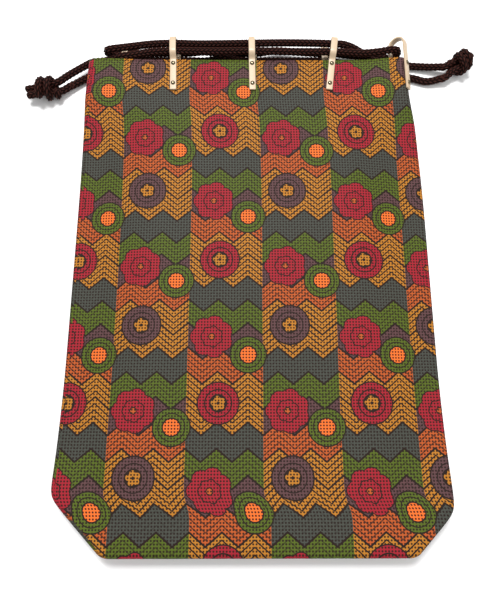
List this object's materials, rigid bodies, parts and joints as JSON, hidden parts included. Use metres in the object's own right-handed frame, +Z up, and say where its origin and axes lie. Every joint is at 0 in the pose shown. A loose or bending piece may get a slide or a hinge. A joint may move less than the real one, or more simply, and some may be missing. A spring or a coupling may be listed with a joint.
{
  "type": "kinchaku drawstring pouch",
  "caption": "Flat-lying kinchaku pouch of patterned cloth with a boxed base, riveted strip hoops round its mouth and two braided drawcords that end in knots.",
  "frame": {"origin": "centre of the pouch with its hoops, seen from above, on the surface that it lies on; the free cords and knots are left out of the measure", "axes": "+Y along the pouch from its base to its mouth, +X to the right when the front panel is seen from above, +Z up out of the front panel"},
  "size_m": [0.2847, 0.3026, 0.0181],
  "materials": {
    "printed_cloth": "printed in five earth colours over a dark ground, slightly glossy raised dots",
    "cream_strip": "smooth, faint lengthwise lines",
    "rivet_metal": "polished dome, slightly tarnished",
    "braided_cord": "herringbone braid, dark brown"
  },
  "bodies": {
    "root": {"pouch_body": "printed_cloth", "hoop_front_left": "cream_strip", "hoop_front_middle": "cream_strip", "hoop_front_right": "cream_strip", "hoop_back_right": "cream_strip", "hoop_back_middle": "cream_strip", "hoop_back_left": "cream_strip", "hoop_side_left": "cream_strip", "hoop_side_right": "cream_strip", "rivet_front_left_upper": "rivet_metal", "rivet_front_left_lower": "rivet_metal", "rivet_front_middle_upper": "rivet_metal", "rivet_front_middle_lower": "rivet_metal", "rivet_front_right_upper": "rivet_metal", "rivet_front_right_lower": "rivet_metal", "rivet_back_right_upper": "rivet_metal", "rivet_back_right_lower": "rivet_metal", "rivet_back_middle_upper": "rivet_metal", "rivet_back_middle_lower": "rivet_metal", "rivet_back_left_upper": "rivet_metal", "rivet_back_left_lower": "rivet_metal", "rivet_side_left_upper": "rivet_metal", "rivet_side_left_lower": "rivet_metal", "rivet_side_right_upper": "rivet_metal", "rivet_side_right_lower": "rivet_metal", "drawcord_left": "braided_cord", "drawcord_right": "braided_cord", "knot_left": "braided_cord", "knot_right": "braided_cord"}
  },
  "joints": []
}
